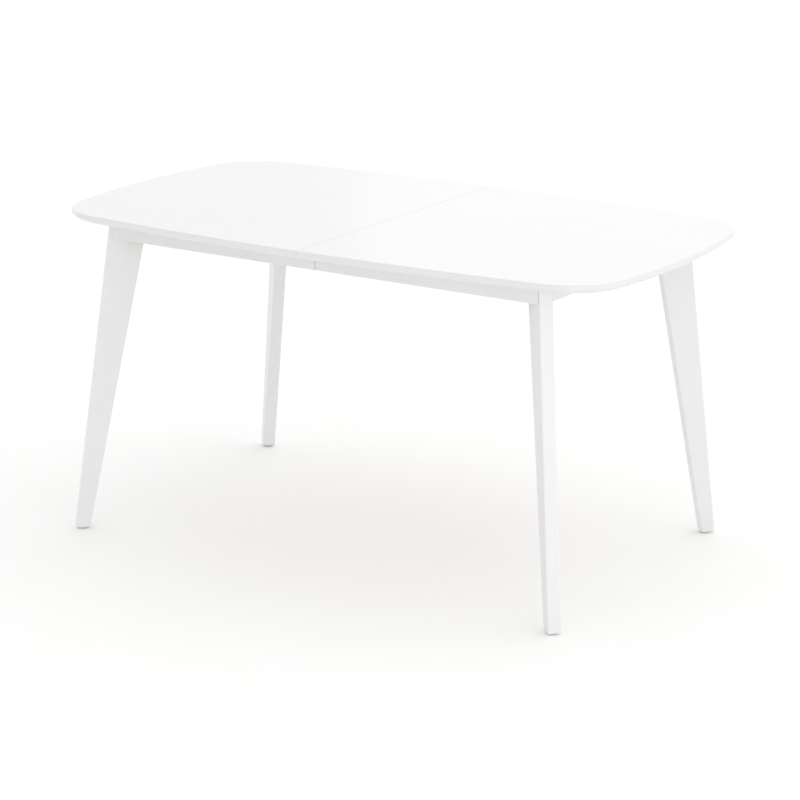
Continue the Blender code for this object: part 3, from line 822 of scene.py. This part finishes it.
@dataclass
class Leg:
    """A splayed plank leg that stands in the diagonal plane of its corner and tapers to the foot."""

    half: Half
    depth: Depth
    top_x: float = 0.528
    top_y: float = 0.316
    foot_x: float = 0.621
    foot_y: float = 0.389
    top_width: float = 84 * MM
    foot_width: float = 32 * MM
    thickness: float = 30 * MM
    corner: float = 3.0 * MM
    foot_round: float = 4.0 * MM
    least_corner: float = 1.0 * MM
    foot_steps: int = 5
    plank_steps: int = 16
    bolt_hole_radius: float = 4.3 * MM
    bolt_hole_reach: float = 60 * MM
    bolt_hole_inset_mm: float = 24.0
    shank_radius: float = 3.9 * MM
    shank_tip_radius: float = 3.0 * MM
    nut_and_washer: float = 6.5 * MM
    washer: float = 1.6 * MM
    block_screw_side: float = 44 * MM
    block_screw_levels: tuple[float, float] = (0.32, 0.68)

    @property
    def name(self) -> str:
        """The leg's corner in node names."""
        return f"{self.half.word}_{self.depth.word}"

    def section(self, height: float, share: float, shrink: float) -> Ring:
        """Return the leg's level section.

        Args:
            height: The section's height.
            share: Its place from 0 at the foot to 1 at the top.
            shrink: How far it is drawn in all round.

        Returns:
            A ring with round corners.
        """
        centre = Vector((self.half.value * (self.foot_x + (self.top_x - self.foot_x) * share),
                         self.depth.value * (self.foot_y + (self.top_y - self.foot_y) * share)))
        half_width = (self.foot_width + (self.top_width - self.foot_width) * share) / 2 - shrink
        half_thickness = self.thickness / 2 - shrink
        outward = Vector((self.half.value, self.depth.value)).normalized()
        across = Vector((-outward.y, outward.x))
        radius = max(self.corner - shrink * 0.5, self.least_corner)
        flat = rounded_rectangle(half_width, half_thickness, radius)
        return [Vector((*(centre + outward * a + across * b), height)) for a, b in flat]

    def build(self) -> None:
        """Build the leg with its bolt hole, its glide and its corner's block and bolt."""
        node = "leg_" + self.name
        low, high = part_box(node)
        tall = high.z - low.z
        rings = []
        for step in range(self.foot_steps + 1):
            angle = pi / 2 * step / self.foot_steps
            rise = self.foot_round * (1 - cos(angle))
            shrink = self.foot_round * (1 - sin(angle))
            rings.append(self.section(low.z + rise, rise / tall, shrink))
        for step in range(1, self.plank_steps + 1):
            share = self.foot_round / tall + (1 - self.foot_round / tall) * step / self.plank_steps
            rings.append(self.section(low.z + tall * share, share, 0.0))
        piece = new_piece("plank_leg_" + self.name, [loft(rings)], LEG_LACQUER, self.half.body,
                          [node])
        inward = -Vector((self.half.value, self.depth.value, 0.0)).normalized()
        bolt_low, bolt_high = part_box("leg_bolt_" + self.name)
        middle = (bolt_low + bolt_high) / 2
        reach, radius = self.bolt_hole_reach, self.bolt_hole_radius
        profile = [(-reach, radius), (reach, radius)]
        hole = turned(profile, middle + inward * self.bolt_hole_inset_mm * MM, inward, 24)
        cut_holes(piece, [hole])
        self.build_glide()
        self.build_block(inward)

    def build_glide(self) -> None:
        """Build the glide, a moulded disc with a round lip."""
        node = "glide_" + self.name
        low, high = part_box(node)
        centre = Vector(((low.x + high.x) / 2, (low.y + high.y) / 2, low.z))
        radius = (high.x - low.x) / 2
        tall = high.z - low.z
        profile = [(rise * MM, radius - inset * MM) for rise, inset in GLIDE_LIP_MM]
        profile += [(tall - drop * MM, radius - inset * MM) for drop, inset in GLIDE_RIM_MM]
        new_piece("nylon_" + node, [turned(profile, centre, UP, 48)], NATURAL_NYLON, self.half.body,
                  [node])

    def build_block(self, inward: Vector) -> None:
        """Build the dressed corner block, its screws, and the bolt with its washer.

        Args:
            inward: The level direction from the corner to the middle of the table.
        """
        rising = self.half.value * self.depth.value < 0
        ease_edges("corner_block_" + self.name, RAIL_EASE, BEECH_RISING if rising else BEECH_FALLING, 3)
        node = "leg_bolt_" + self.name
        low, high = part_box(node)
        level = Vector((0, 0, (low.z + high.z) / 2))
        corner = Vector((self.half.value, self.depth.value, 0.0)).normalized()
        vertices = [v.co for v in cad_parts[node].data.vertices]
        tip = min(v.dot(corner) for v in vertices)
        deep = max(v.dot(corner) for v in vertices)
        side = Vector((-corner.y, corner.x, 0.0))
        offset = sum(v.dot(side) for v in vertices) / len(vertices)
        foot = corner * deep + side * offset + level
        length = deep - tip
        seat = length - self.nut_and_washer
        shank = turned([(0.0, self.shank_tip_radius), (1.0 * MM, self.shank_radius),
                        (seat, self.shank_radius)], foot, inward, 24)
        disc = turned([(seat + 0.05 * MM, 6.9 * MM), (seat + 0.35 * MM, 7.4 * MM),
                       (seat + self.washer - 0.3 * MM, 7.4 * MM), (seat + self.washer, 7.0 * MM)],
                      foot, inward, 32)
        nut = turned([(seat + self.washer, 5.9 * MM), (seat + self.washer + 0.3 * MM, 6.4 * MM),
                      (length - 0.8 * MM, 6.4 * MM), (length, 5.6 * MM)], foot, inward, 6)
        new_piece("bolt_and_washer_" + self.name, [shank, disc, nut], BRIGHT_ZINC, self.half.body,
                  [node], 24.0)
        block_low, block_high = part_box("corner_block_" + self.name)
        points = [v.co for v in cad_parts["corner_block_" + self.name].data.vertices]
        face = min(v.dot(corner) for v in points)
        places = []
        for sign in (-1, 1):
            for share in self.block_screw_levels:
                height = block_low.z + (block_high.z - block_low.z) * share
                at = corner * face + side * (offset + sign * self.block_screw_side) + Vector((0, 0, height))
                places.append((at, -corner))
        screws("block_screws_" + self.name, places, self.half.body)


@dataclass
class AngleBrackets:
    """Pressed angle brackets that hold the aprons to the underside of the top."""

    half: Half
    reach: float = 15 * MM
    width: float = 16 * MM
    sheet: float = 1.4 * MM
    bend: float = 2.4 * MM
    bend_steps: int = 5
    gap: float = 0.15 * MM
    cut_ease: float = 0.25 * MM
    cut_angle: float = 1.2
    screw_reach_mm: float = 9.0
    side_xs: tuple[float, ...] = (0.14, 0.29, 0.41)
    end_ys: tuple[float, ...] = (-0.13, 0.13)

    def shell(self, corner: Vector, into: Vector) -> Shell:
        """Return one bracket.

        Args:
            corner: The corner between the apron's inner face and the underside.
            into: The level direction away from the apron.

        Returns:
            A bent strip with a round bend.
        """
        along = into.cross(DOWN).normalized()
        centre = (self.bend, self.bend)
        outer = [(self.reach, self.gap), (self.bend, self.gap)]
        outer += arc(centre, self.bend - self.gap, -pi / 2, -pi, self.bend_steps)[1:]
        outer.append((self.gap, self.reach))
        inner = [(self.sheet, self.reach)]
        inner += arc(centre, self.bend - self.sheet, pi, 3 * pi / 2, self.bend_steps)
        inner.append((self.reach, self.sheet))
        builder = loft([[corner + into * a + DOWN * b + along * place for a, b in outer + inner]
                        for place in (-self.width / 2, self.width / 2)])
        cut_edges = [edge for edge in builder.edges if edge.calc_face_angle(0) > self.cut_angle]
        bmesh.ops.bevel(builder, geom=cut_edges, offset=self.cut_ease, segments=2, profile=0.5,
                        affect="EDGES")
        return builder

    def build(self) -> None:
        """Build the brackets of every apron of this half."""
        sign = self.half.value
        for depth in Depth:
            low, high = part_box(f"side_apron_{self.half.word}_{depth.word}")
            face = low.y if depth is Depth.BACK else high.y
            into = Vector((0, -depth.value, 0))
            corners = [Vector((sign * x, face, high.z)) for x in self.side_xs]
            self.place(f"{self.half.word}_{depth.word}", corners, into)
        low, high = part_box("end_apron_" + self.half.word)
        face = low.x if self.half is Half.RIGHT else high.x
        corners = [Vector((face, y, high.z)) for y in self.end_ys]
        self.place(self.half.word + "_end", corners, Vector((-sign, 0, 0)))

    def place(self, where: str, corners: Sequence[Vector], into: Vector) -> None:
        """Build one apron's brackets and their screws.

        Args:
            where: The apron's place, for the names.
            corners: The corners that the brackets sit in.
            into: The level direction away from the apron.
        """
        new_piece("angle_brackets_" + where, [self.shell(corner, into) for corner in corners], BRIGHT_ZINC,
                  self.half.body, crease_degrees=40.0)
        heads = []
        for corner in corners:
            heads.append((corner + into * self.screw_reach_mm * MM + Vector((0, 0, -self.sheet)), DOWN))
            heads.append((corner + into * self.sheet + Vector((0, 0, -self.screw_reach_mm * MM)), into))
        screws("bracket_screws_" + where, heads, self.half.body)


@dataclass
class Frame:
    """The aprons of one half, their brackets and the half's runners and racks."""

    half: Half
    runner_screw_xs: tuple[float, ...] = (-0.17, 0.02, 0.21, 0.39)

    def build(self) -> None:
        """Dress the half's rails and put the screws in its runners."""
        word = self.half.word
        ease_edges("end_apron_" + word, RAIL_EASE, RAIL_LACQUER_Y, 3)
        for depth in Depth:
            where = f"{word}_{depth.word}"
            ease_edges("side_apron_" + where, RAIL_EASE, RAIL_LACQUER_X, 3)
            ease_edges("runner_" + where, RUNNER_EASE, BEECH_X)
            ease_edges("rack_" + where, TOOTH_EASE, NATURAL_NYLON, 1)
            low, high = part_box("runner_" + where)
            places = [(Vector((self.half.value * x, (low.y + high.y) / 2, low.z)), DOWN)
                      for x in self.runner_screw_xs]
            screws("runner_screws_" + where, places, self.half.body)
        AngleBrackets(self.half).build()


@dataclass
class GearedCentre:
    """The middle runners with their pinions and axles, and the cradle under them."""

    pin_ease: float = 0.5 * MM
    runner_face_mm: float = 10.0
    plate_height: float = 0.6990
    plate_half_width: float = 11 * MM
    plate_half_height: float = 8.4 * MM
    plate_corner: float = 2.5 * MM
    plate_sheet_mm: float = 1.4
    plate_gap: float = 0.1 * MM
    plate_ease: float = 0.2 * MM
    plate_edge: float = 0.97
    plate_screw_xs_mm: tuple[float, float] = (-6.5, 6.5)
    plate_screw_zs_mm: tuple[float, float] = (-4.8, 4.8)

    def build(self) -> None:
        """Dress the runners, pinions and bars, and add the axle pins and the plates."""
        for depth in Depth:
            ease_edges("middle_runner_" + depth.word, RUNNER_EASE, BEECH_X)
            ease_edges("pinion_" + depth.word, TOOTH_EASE, NATURAL_NYLON, 1)
            self.build_axle(depth)
        for half in Half:
            ease_edges("cradle_bar_" + half.word, BAR_EASE, BEECH_Y, 3)
            for depth in Depth:
                self.build_plate(half, depth)

    def build_axle(self, depth: Depth) -> None:
        """Build an axle pin with chamfered ends."""
        node = "pinion_axle_" + depth.word
        low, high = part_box(node)
        base = Vector(((low.x + high.x) / 2, (low.y + high.y) / 2, low.z))
        profile = chamfered(high.z - low.z, (high.x - low.x) / 2, self.pin_ease)
        new_piece("axle_pin_" + depth.word, [turned(profile, base, UP)], BRIGHT_ZINC, "centre",
                  [node])

    def build_plate(self, half: Half, depth: Depth) -> None:
        """Build the mending plate that ties a cradle bar's end to its middle runner.

        Args:
            half: The bar's half of the table.
            depth: The bar's end.
        """
        bar_low, bar_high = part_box("cradle_bar_" + half.word)
        runner_low, runner_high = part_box("middle_runner_" + depth.word)
        centre_y = (runner_low.y + runner_high.y) / 2
        face = centre_y - depth.value * self.runner_face_mm * MM
        out = Vector((0, -depth.value, 0))
        middle = Vector(((bar_low.x + bar_high.x) / 2, face, self.plate_height))
        outline = rounded_rectangle(self.plate_half_width, self.plate_half_height, self.plate_corner)
        sheet = self.plate_sheet_mm * MM
        levels = ((self.plate_gap, self.plate_edge), (self.plate_gap + self.plate_ease, 1.0),
                  (sheet - self.plate_ease, 1.0), (sheet, self.plate_edge))
        rings = [[middle + out * rise + LENGTHWAYS * a * shrink + UP * b * shrink for a, b in outline]
                 for rise, shrink in levels]
        where = f"{half.word}_{depth.word}"
        new_piece("cradle_plate_" + where, [loft(rings)], BRIGHT_ZINC, "centre")
        places = [(middle + out * self.plate_sheet_mm * MM + LENGTHWAYS * x * MM + UP * z * MM, out)
                  for x in self.plate_screw_xs_mm for z in self.plate_screw_zs_mm]
        screws("cradle_plate_screws_" + where, places, "centre", PLATE_SCREW)


@dataclass
class FoldedLeaf:
    """The two boards of the stored leaf, their dowels and their hinges."""

    arris: float = 1.5 * MM
    upright: float = 9.0 * MM
    undercut: float = 9.0 * MM
    hinge_radius: float = 3.6 * MM
    knuckles: int = 5
    dowel_from_fold: float = 0.30
    dowel_gap: float = 0.05 * MM
    dowel_length: float = 11.5 * MM
    hole_depth: float = 13.5 * MM
    hole_start: float = 1.0 * MM
    ease: float = 0.5 * MM
    end_ease: float = 0.35 * MM
    arris_steps: int = 5
    knuckle_gap: float = 0.12 * MM
    knuckle_ease: float = 0.25 * MM
    pin_end: float = 1.4 * MM
    pin_radius: float = 2.0 * MM
    pin_head_radius: float = 2.5 * MM
    plate_levels: tuple[float, float] = (0.12 * MM, 1.65 * MM)
    plate_corner: float = 2.0 * MM
    plate_from_pin: float = 1.0 * MM

    def profile(self, low: Vector, high: Vector, upwards: bool) -> list[Point]:
        """Return a board's (y, z) outline.

        Args:
            low: The board's lowest corner.
            high: The board's highest corner.
            upwards: Whether its upper face, when it is in use, faces up in the stack.

        Returns:
            The outline, with an eased arris and an undercut at the outer end.
        """
        sign = 1 if upwards else -1
        face = high.z if upwards else low.z
        underside = low.z if upwards else high.z
        end = low.y
        points = [(high.y - self.ease, underside), (high.y, underside + sign * self.ease),
                  (high.y, face - sign * self.ease), (high.y - self.ease, face)]
        points += [(end + self.arris * (1 - sin(a)), face - sign * self.arris * (1 - cos(a)))
                   for a in (pi / 2 * k / self.arris_steps for k in range(self.arris_steps + 1))]
        chamfer_top = face - sign * (self.arris + self.upright)
        points += [(end, chamfer_top), (end + 0.4 * MM, chamfer_top - sign * 0.9 * MM),
                   (end + self.undercut, underside)]
        return points

    def build(self) -> None:
        """Build both boards and both hinges."""
        for name, upwards in (("leaf_board_upper", True), ("leaf_board_lower", False)):
            low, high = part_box(name)
            outline = self.profile(low, high, upwards)
            middle_y = (low.y + high.y) / 2
            middle_z = (low.z + high.z) / 2
            rings = []
            for x, shrink in ((low.x, self.end_ease), (low.x + self.end_ease, 0.0),
                              (high.x - self.end_ease, 0.0), (high.x, self.end_ease)):
                rings.append([Vector((x, y + copysign(shrink, middle_y - y),
                                      z + copysign(shrink, middle_z - z))) for y, z in outline])
            piece = new_piece("lacquered_" + name, [loft(rings)], TOP_LACQUER, "centre",
                              [name])
            place = Vector((low.x, high.y - self.dowel_from_fold, middle_z))
            hole = turned([(-self.hole_start, DOWEL_MOUTH_RADIUS), (DOWEL_MOUTH_DEPTH, DOWEL_HOLE_RADIUS),
                           (self.hole_depth, DOWEL_HOLE_RADIUS)], place, LENGTHWAYS, 24)
            cut_holes(piece, [hole])
            end = Vector((high.x, place.y, middle_z))
            dowel = Dowels().shell(end + LENGTHWAYS * self.dowel_gap, end + LENGTHWAYS * self.dowel_length)
            new_piece(name.replace("board", "dowel"), [dowel], BEECH_X, "centre")
        for half in Half:
            self.build_hinge("leaf_hinge_" + half.word)

    def build_hinge(self, node: str) -> None:
        """Build a butt hinge: two plates, interleaved knuckles and a headed pin.

        Args:
            node: The frame node that it stands for.
        """
        low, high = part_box(node)
        centre = Vector((0, high.y - self.hinge_radius, (low.z + high.z) / 2))
        length = high.x - low.x
        usable = length - 2 * self.pin_end
        share = usable / self.knuckles
        knuckle = chamfered(share - 2 * self.knuckle_gap, self.hinge_radius, self.knuckle_ease)
        first = low.x + self.pin_end + self.knuckle_gap
        shells = [turned(knuckle, centre + LENGTHWAYS * (first + share * number), LENGTHWAYS, 28)
                  for number in range(self.knuckles)]
        head = [(0, 1.6 * MM), (0.4 * MM, self.pin_head_radius),
                (self.pin_end - 0.2 * MM, self.pin_head_radius), (self.pin_end, self.pin_radius)]
        pin = head + [(length - along, radius) for along, radius in reversed(head)]
        shells.append(turned(pin, centre + LENGTHWAYS * low.x, LENGTHWAYS, 24))
        outer_edge = centre.y - self.plate_from_pin
        middle = Vector(((low.x + high.x) / 2, (low.y + outer_edge) / 2, centre.z))
        plate = rounded_rectangle(usable / 2, (outer_edge - low.y) / 2, self.plate_corner)
        for sign in (-1, 1):
            shells.append(loft([[middle + Vector((a, b, sign * rise)) for a, b in plate]
                                for rise in self.plate_levels]))
        new_piece("butt_" + node, shells, BRIGHT_ZINC, "centre", [node])


@dataclass
class SeamLock:
    """A swinging lock across the seam, with its base, lever, strike and screws."""

    depth: Depth
    screw_inset: float = 3.2 * MM
    base_shares: tuple[float, float] = (0.25, 0.75)
    strike_shares: tuple[float, float] = (0.22, 0.78)

    def build(self) -> None:
        """Dress the lock's parts and add the screws of its plates."""
        word = self.depth.word
        for part in ("base", "strike", "lever"):
            ease_edges(f"lock_{part}_{word}", PRESSED_EASE, BRIGHT_ZINC)
        plate_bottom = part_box("lock_base_" + word)[0].z
        for part, half, shares in (("base", Half.LEFT, self.base_shares),
                                   ("strike", Half.RIGHT, self.strike_shares)):
            low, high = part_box(f"lock_{part}_{word}")
            x = low.x + self.screw_inset if half is Half.LEFT else high.x - self.screw_inset
            places = [(Vector((x, low.y + (high.y - low.y) * share, plate_bottom)), DOWN)
                      for share in shares]
            screws(f"lock_{part}_screws_{word}", places, half.body, LOCK_SCREW)


@dataclass(frozen=True)
class SoftBox:
    """A square soft box: where it hangs, where it points, its side in metres and its power in watts."""

    name: str
    place: tuple[float, float, float]
    aim: tuple[float, float, float]
    side: float
    power: float

    def build(self) -> None:
        """Hang the soft box."""
        light = bpy.data.lights.new(self.name, "AREA")
        light.shape = "SQUARE"
        light.size = self.side
        light.energy = self.power
        lamp = added(self.name, light)
        lamp.location = self.place
        lamp.rotation_euler = (Vector(self.aim) - Vector(self.place)).to_track_quat("-Z", "Y").to_euler()


@dataclass
class Studio:
    """The seamless floor, the soft boxes and the camera."""

    eye: tuple[float, float, float] = (2.8842, -4.8252, 1.9489)
    heading_degrees: float = -30.80
    dip_degrees: float = 16.19
    roll_degrees: float = 0.84
    sensor_mm: float = 36.0
    lens_mm: float = 113.7
    bright_side: tuple[float, float, float] = (0.35, 0.75, 0.56)
    room_dark: float = 0.68
    room_bright: float = 1.25
    floor_reach: float = 30.0
    paper: tuple[str, str] = ("FAFAF9", "FCFCFC")
    soft_boxes: tuple[SoftBox, ...] = (
        SoftBox("soft_box_behind", (-1.1, 2.9, 1.9), (-0.1, 0.0, 0.75), 1.5, 1.5),
        SoftBox("soft_box_right", (1.9, -1.6, 0.6), (0.6, -0.3, 0.4), 0.9, 3.2),
    )

    def build(self) -> None:
        """Build the floor, the lights and the camera."""
        self.build_floor()
        self.build_lights()
        self.build_camera()

    def build_floor(self) -> None:
        """Lay seamless paper, pale and matt."""
        builder = bmesh.new()
        bmesh.ops.create_grid(builder, x_segments=8, y_segments=8, size=self.floor_reach)
        mesh = finished_mesh(builder, "studio_floor")
        material, tree, shader = new_material("seamless_background_paper")
        place = add_node(tree, "TexCoord").outputs["Object"]
        fibre = add_node(tree, "TexNoise", {"Scale": 3.0, "Detail": 2.0}, {"Vector": place})
        wire(tree, shader, {
            "Base Color": two_tone(tree, fibre.outputs["Fac"], self.paper),
            "Roughness": 0.9,
            "Specular IOR Level": 0.2,
        })
        mesh.materials.append(material)
        added("studio_floor", mesh)

    def build_lights(self) -> None:
        """Hang the soft boxes and set the fill of the white room."""
        world = bpy.data.worlds.new("white_room")
        bpy.context.scene.world = world
        world.use_nodes = True
        tree = world.node_tree
        background = tree.nodes["Background"]
        background.inputs["Color"].default_value = linear_colour("FFFFFF")
        # The room is brighter high up behind the table and to its right, as it is by a window.
        way = add_node(tree, "TexCoord").outputs["Generated"]
        sideways = add_node(tree, "VectorMath", {"operation": "DOT_PRODUCT", 1: self.bright_side}, {0: way})
        limits = {"From Min": -1.0, "From Max": 1.0, "To Min": self.room_dark, "To Max": self.room_bright}
        level = add_node(tree, "MapRange", limits, {"Value": sideways.outputs["Value"]})
        tree.links.new(level.outputs["Result"], background.inputs["Strength"])
        for box in self.soft_boxes:
            box.build()

    def build_camera(self) -> None:
        """Set the long lens in front of the right end, a little tilted."""
        degrees = (self.heading_degrees, self.dip_degrees, self.roll_degrees)
        yaw, dip, roll = (radians(angle) for angle in degrees)
        ahead = Vector((sin(yaw) * cos(dip), cos(yaw) * cos(dip), -sin(dip)))
        right = Vector((cos(yaw), -sin(yaw), 0.0))
        up = right.cross(ahead)
        tilted_right = right * cos(roll) + up * sin(roll)
        tilted_up = up * cos(roll) - right * sin(roll)
        turn = Matrix((tilted_right, tilted_up, -ahead)).transposed()
        data = bpy.data.cameras.new("studio_camera")
        data.lens = self.lens_mm
        data.sensor_width = self.sensor_mm
        camera = added("studio_camera", data)
        camera.matrix_world = Matrix.Translation(Vector(self.eye)) @ turn.to_4x4()
        bpy.context.scene.camera = camera
        bpy.context.scene.view_settings.view_transform = "Standard"


def main() -> None:
    """Build the table and the studio round it."""
    for half in Half:
        TableTop(half).build()
        Frame(half).build()
        for depth in Depth:
            Leg(half, depth).build()
    Dowels().build()
    GearedCentre().build()
    FoldedLeaf().build()
    for depth in Depth:
        SeamLock(depth).build()
    Studio().build()


if __name__ == "__main__":
    main()
